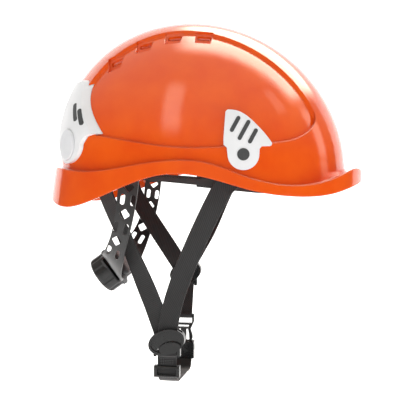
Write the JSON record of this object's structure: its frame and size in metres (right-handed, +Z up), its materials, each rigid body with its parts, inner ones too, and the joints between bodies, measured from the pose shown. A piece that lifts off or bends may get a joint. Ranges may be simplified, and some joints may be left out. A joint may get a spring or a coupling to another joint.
{
  "type": "climbing helmet",
  "caption": "Vented climbing helmet with textile cradle, ratchet nape adjuster, lamp clips and buckled chin strap.",
  "frame": {"origin": "middle of the head opening, at the height of the headband", "axes": "+X forward over the peak, +Y to the wearer's left, +Z up towards the crown"},
  "size_m": [0.3055, 0.2168, 0.3561],
  "materials": {
    "shell_orange": "moulded gloss",
    "clip_white": "satin gloss",
    "button_white": "satin gloss",
    "mark_grey": "matt print",
    "harness_black": "fine grain",
    "pad_black": "brushed foam fabric",
    "webbing_black": "twill webbing",
    "buckle_black": "satin",
    "housing_black": "satin",
    "knob_grey": "soft grip satin",
    "pin_black": "satin",
    "steel": "plain"
  },
  "bodies": {
    "helmet": {"arm_pin_left": "pin_black", "arm_pin_right": "pin_black", "buckle_plug": "buckle_black", "buckle_webbing": "webbing_black", "cradle_across": "webbing_black", "cradle_diagonal_a": "webbing_black", "cradle_diagonal_b": "webbing_black", "divider_left": "buckle_black", "divider_right": "buckle_black", "front_clip_left": "clip_white", "front_clip_right": "clip_white", "front_marks_left": "mark_grey", "front_marks_right": "mark_grey", "front_strap_left": "webbing_black", "front_strap_right": "webbing_black", "headband": "harness_black", "key_front": "harness_black", "key_middle": "harness_black", "key_rear": "harness_black", "rear_buttons": "button_white", "rear_clip": "clip_white", "rear_marks": "mark_grey", "rear_strap_left": "webbing_black", "rear_strap_right": "webbing_black", "shell": "shell_orange", "side_strip_left": "harness_black", "side_strip_right": "harness_black", "sweatband": "pad_black"},
    "nape": {"arm_left": "harness_black", "arm_right": "harness_black", "housing": "housing_black", "housing_cover": "housing_black", "nape_pad": "pad_black", "click_spring": "steel"},
    "knob": {"knob": "knob_grey", "pinion": "housing_black", "knob_screw": "steel"},
    "strip_left": {"strip_left": "housing_black"},
    "strip_right": {"strip_right": "housing_black"},
    "chin_strap": {"chin_webbing": "webbing_black", "triglide": "buckle_black", "buckle_socket": "buckle_black"},
    "release_front": {"release_arm_front": "buckle_black"},
    "release_rear": {"release_arm_rear": "buckle_black"}
  },
  "joints": [
    {"name": "nape_tilt", "type": "hinge", "parent": "helmet", "child": "nape", "pos_m": [-0.058, 0, 0.008], "axis": [0, 1, 0], "range_deg": [-6, 22]},
    {"name": "knob_turn", "type": "hinge", "parent": "nape", "child": "knob", "pos_m": [-0.088, 0, -0.0863], "axis": [-0.809, 0, -0.5878], "range_deg": [-90, 90]},
    {"name": "strip_left_slide", "type": "slide", "parent": "nape", "child": "strip_left", "axis": [0, 1, 0], "range_m": [-0.0097, 0.0097]},
    {"name": "strip_right_slide", "type": "slide", "parent": "nape", "child": "strip_right", "axis": [0, -1, 0], "range_m": [-0.0097, 0.0097]},
    {"name": "chin_strap_drop", "type": "hinge", "parent": "helmet", "child": "chin_strap", "pos_m": [-0.027, -0.0531, -0.1579], "axis": [-0.9977, 0.0684, 0], "range_deg": [0, 40], "deforming": ["release_arm_front", "release_arm_rear"]},
    {"name": "release_front_squeeze", "type": "hinge", "parent": "helmet", "child": "release_front", "pos_m": [-0.01429, 0.04165, -0.1586], "axis": [0.0684, 0.9977, 0], "range_deg": [0, 7], "stiffness_Nm_per_rad": 0.01},
    {"name": "release_rear_squeeze", "type": "hinge", "parent": "helmet", "child": "release_rear", "pos_m": [-0.02666, 0.0425, -0.1586], "axis": [-0.0684, -0.9977, 0], "range_deg": [0, 7], "stiffness_Nm_per_rad": 0.01}
  ],
  "couplings": [
    {"joint": "strip_left_slide", "follows": "knob_turn", "m_per_rad": -0.006},
    {"joint": "strip_right_slide", "follows": "knob_turn", "m_per_rad": -0.006},
    {"joint": "release_rear_squeeze", "follows": "release_front_squeeze", "ratio": 1}
  ]
}
